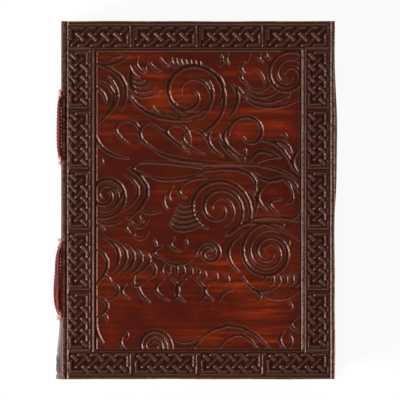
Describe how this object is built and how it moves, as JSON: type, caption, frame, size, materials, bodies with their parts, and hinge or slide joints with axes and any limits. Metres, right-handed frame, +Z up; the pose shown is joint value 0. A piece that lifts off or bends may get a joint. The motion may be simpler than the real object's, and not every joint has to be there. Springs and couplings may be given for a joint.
{
  "type": "leather journal",
  "caption": "Closed leather journal with stamped knot and scroll covers, an open cord sewn spine and a block of blank pages.",
  "frame": {"origin": "middle of the back cover's outer face, on the surface the journal lies on", "axes": "+Y to the head of the book, along its longest side; +Z up through its thickness, out of the front cover; the spine is at -X and the fore edge at +X"},
  "size_m": [0.161, 0.203, 0.0279],
  "materials": {
    "stamped_leather": "glossy",
    "paper": "matte",
    "sewing_cord": "matte"
  },
  "bodies": {
    "spine_and_pages": {"spine": "stamped_leather", "page_block": "paper", "upper_stitch_1": "sewing_cord", "upper_stitch_2": "sewing_cord", "upper_stitch_3": "sewing_cord", "upper_stitch_4": "sewing_cord", "upper_stitch_5": "sewing_cord", "upper_stitch_6": "sewing_cord", "lower_stitch_1": "sewing_cord", "lower_stitch_2": "sewing_cord", "lower_stitch_3": "sewing_cord", "lower_stitch_4": "sewing_cord", "lower_stitch_5": "sewing_cord", "lower_stitch_6": "sewing_cord"},
    "front_flap": {"front_cover": "stamped_leather"},
    "back_flap": {"back_cover": "stamped_leather"}
  },
  "joints": [
    {"name": "front_cover_fold", "type": "hinge", "parent": "spine_and_pages", "child": "front_flap", "pos_m": [-0.076, 0, 0.0264], "axis": [0, -1, 0], "range_deg": [0, 180]},
    {"name": "back_cover_fold", "type": "hinge", "parent": "spine_and_pages", "child": "back_flap", "pos_m": [-0.076, 0, 0.0015], "axis": [0, 1, 0], "range_deg": [0, 180]}
  ]
}
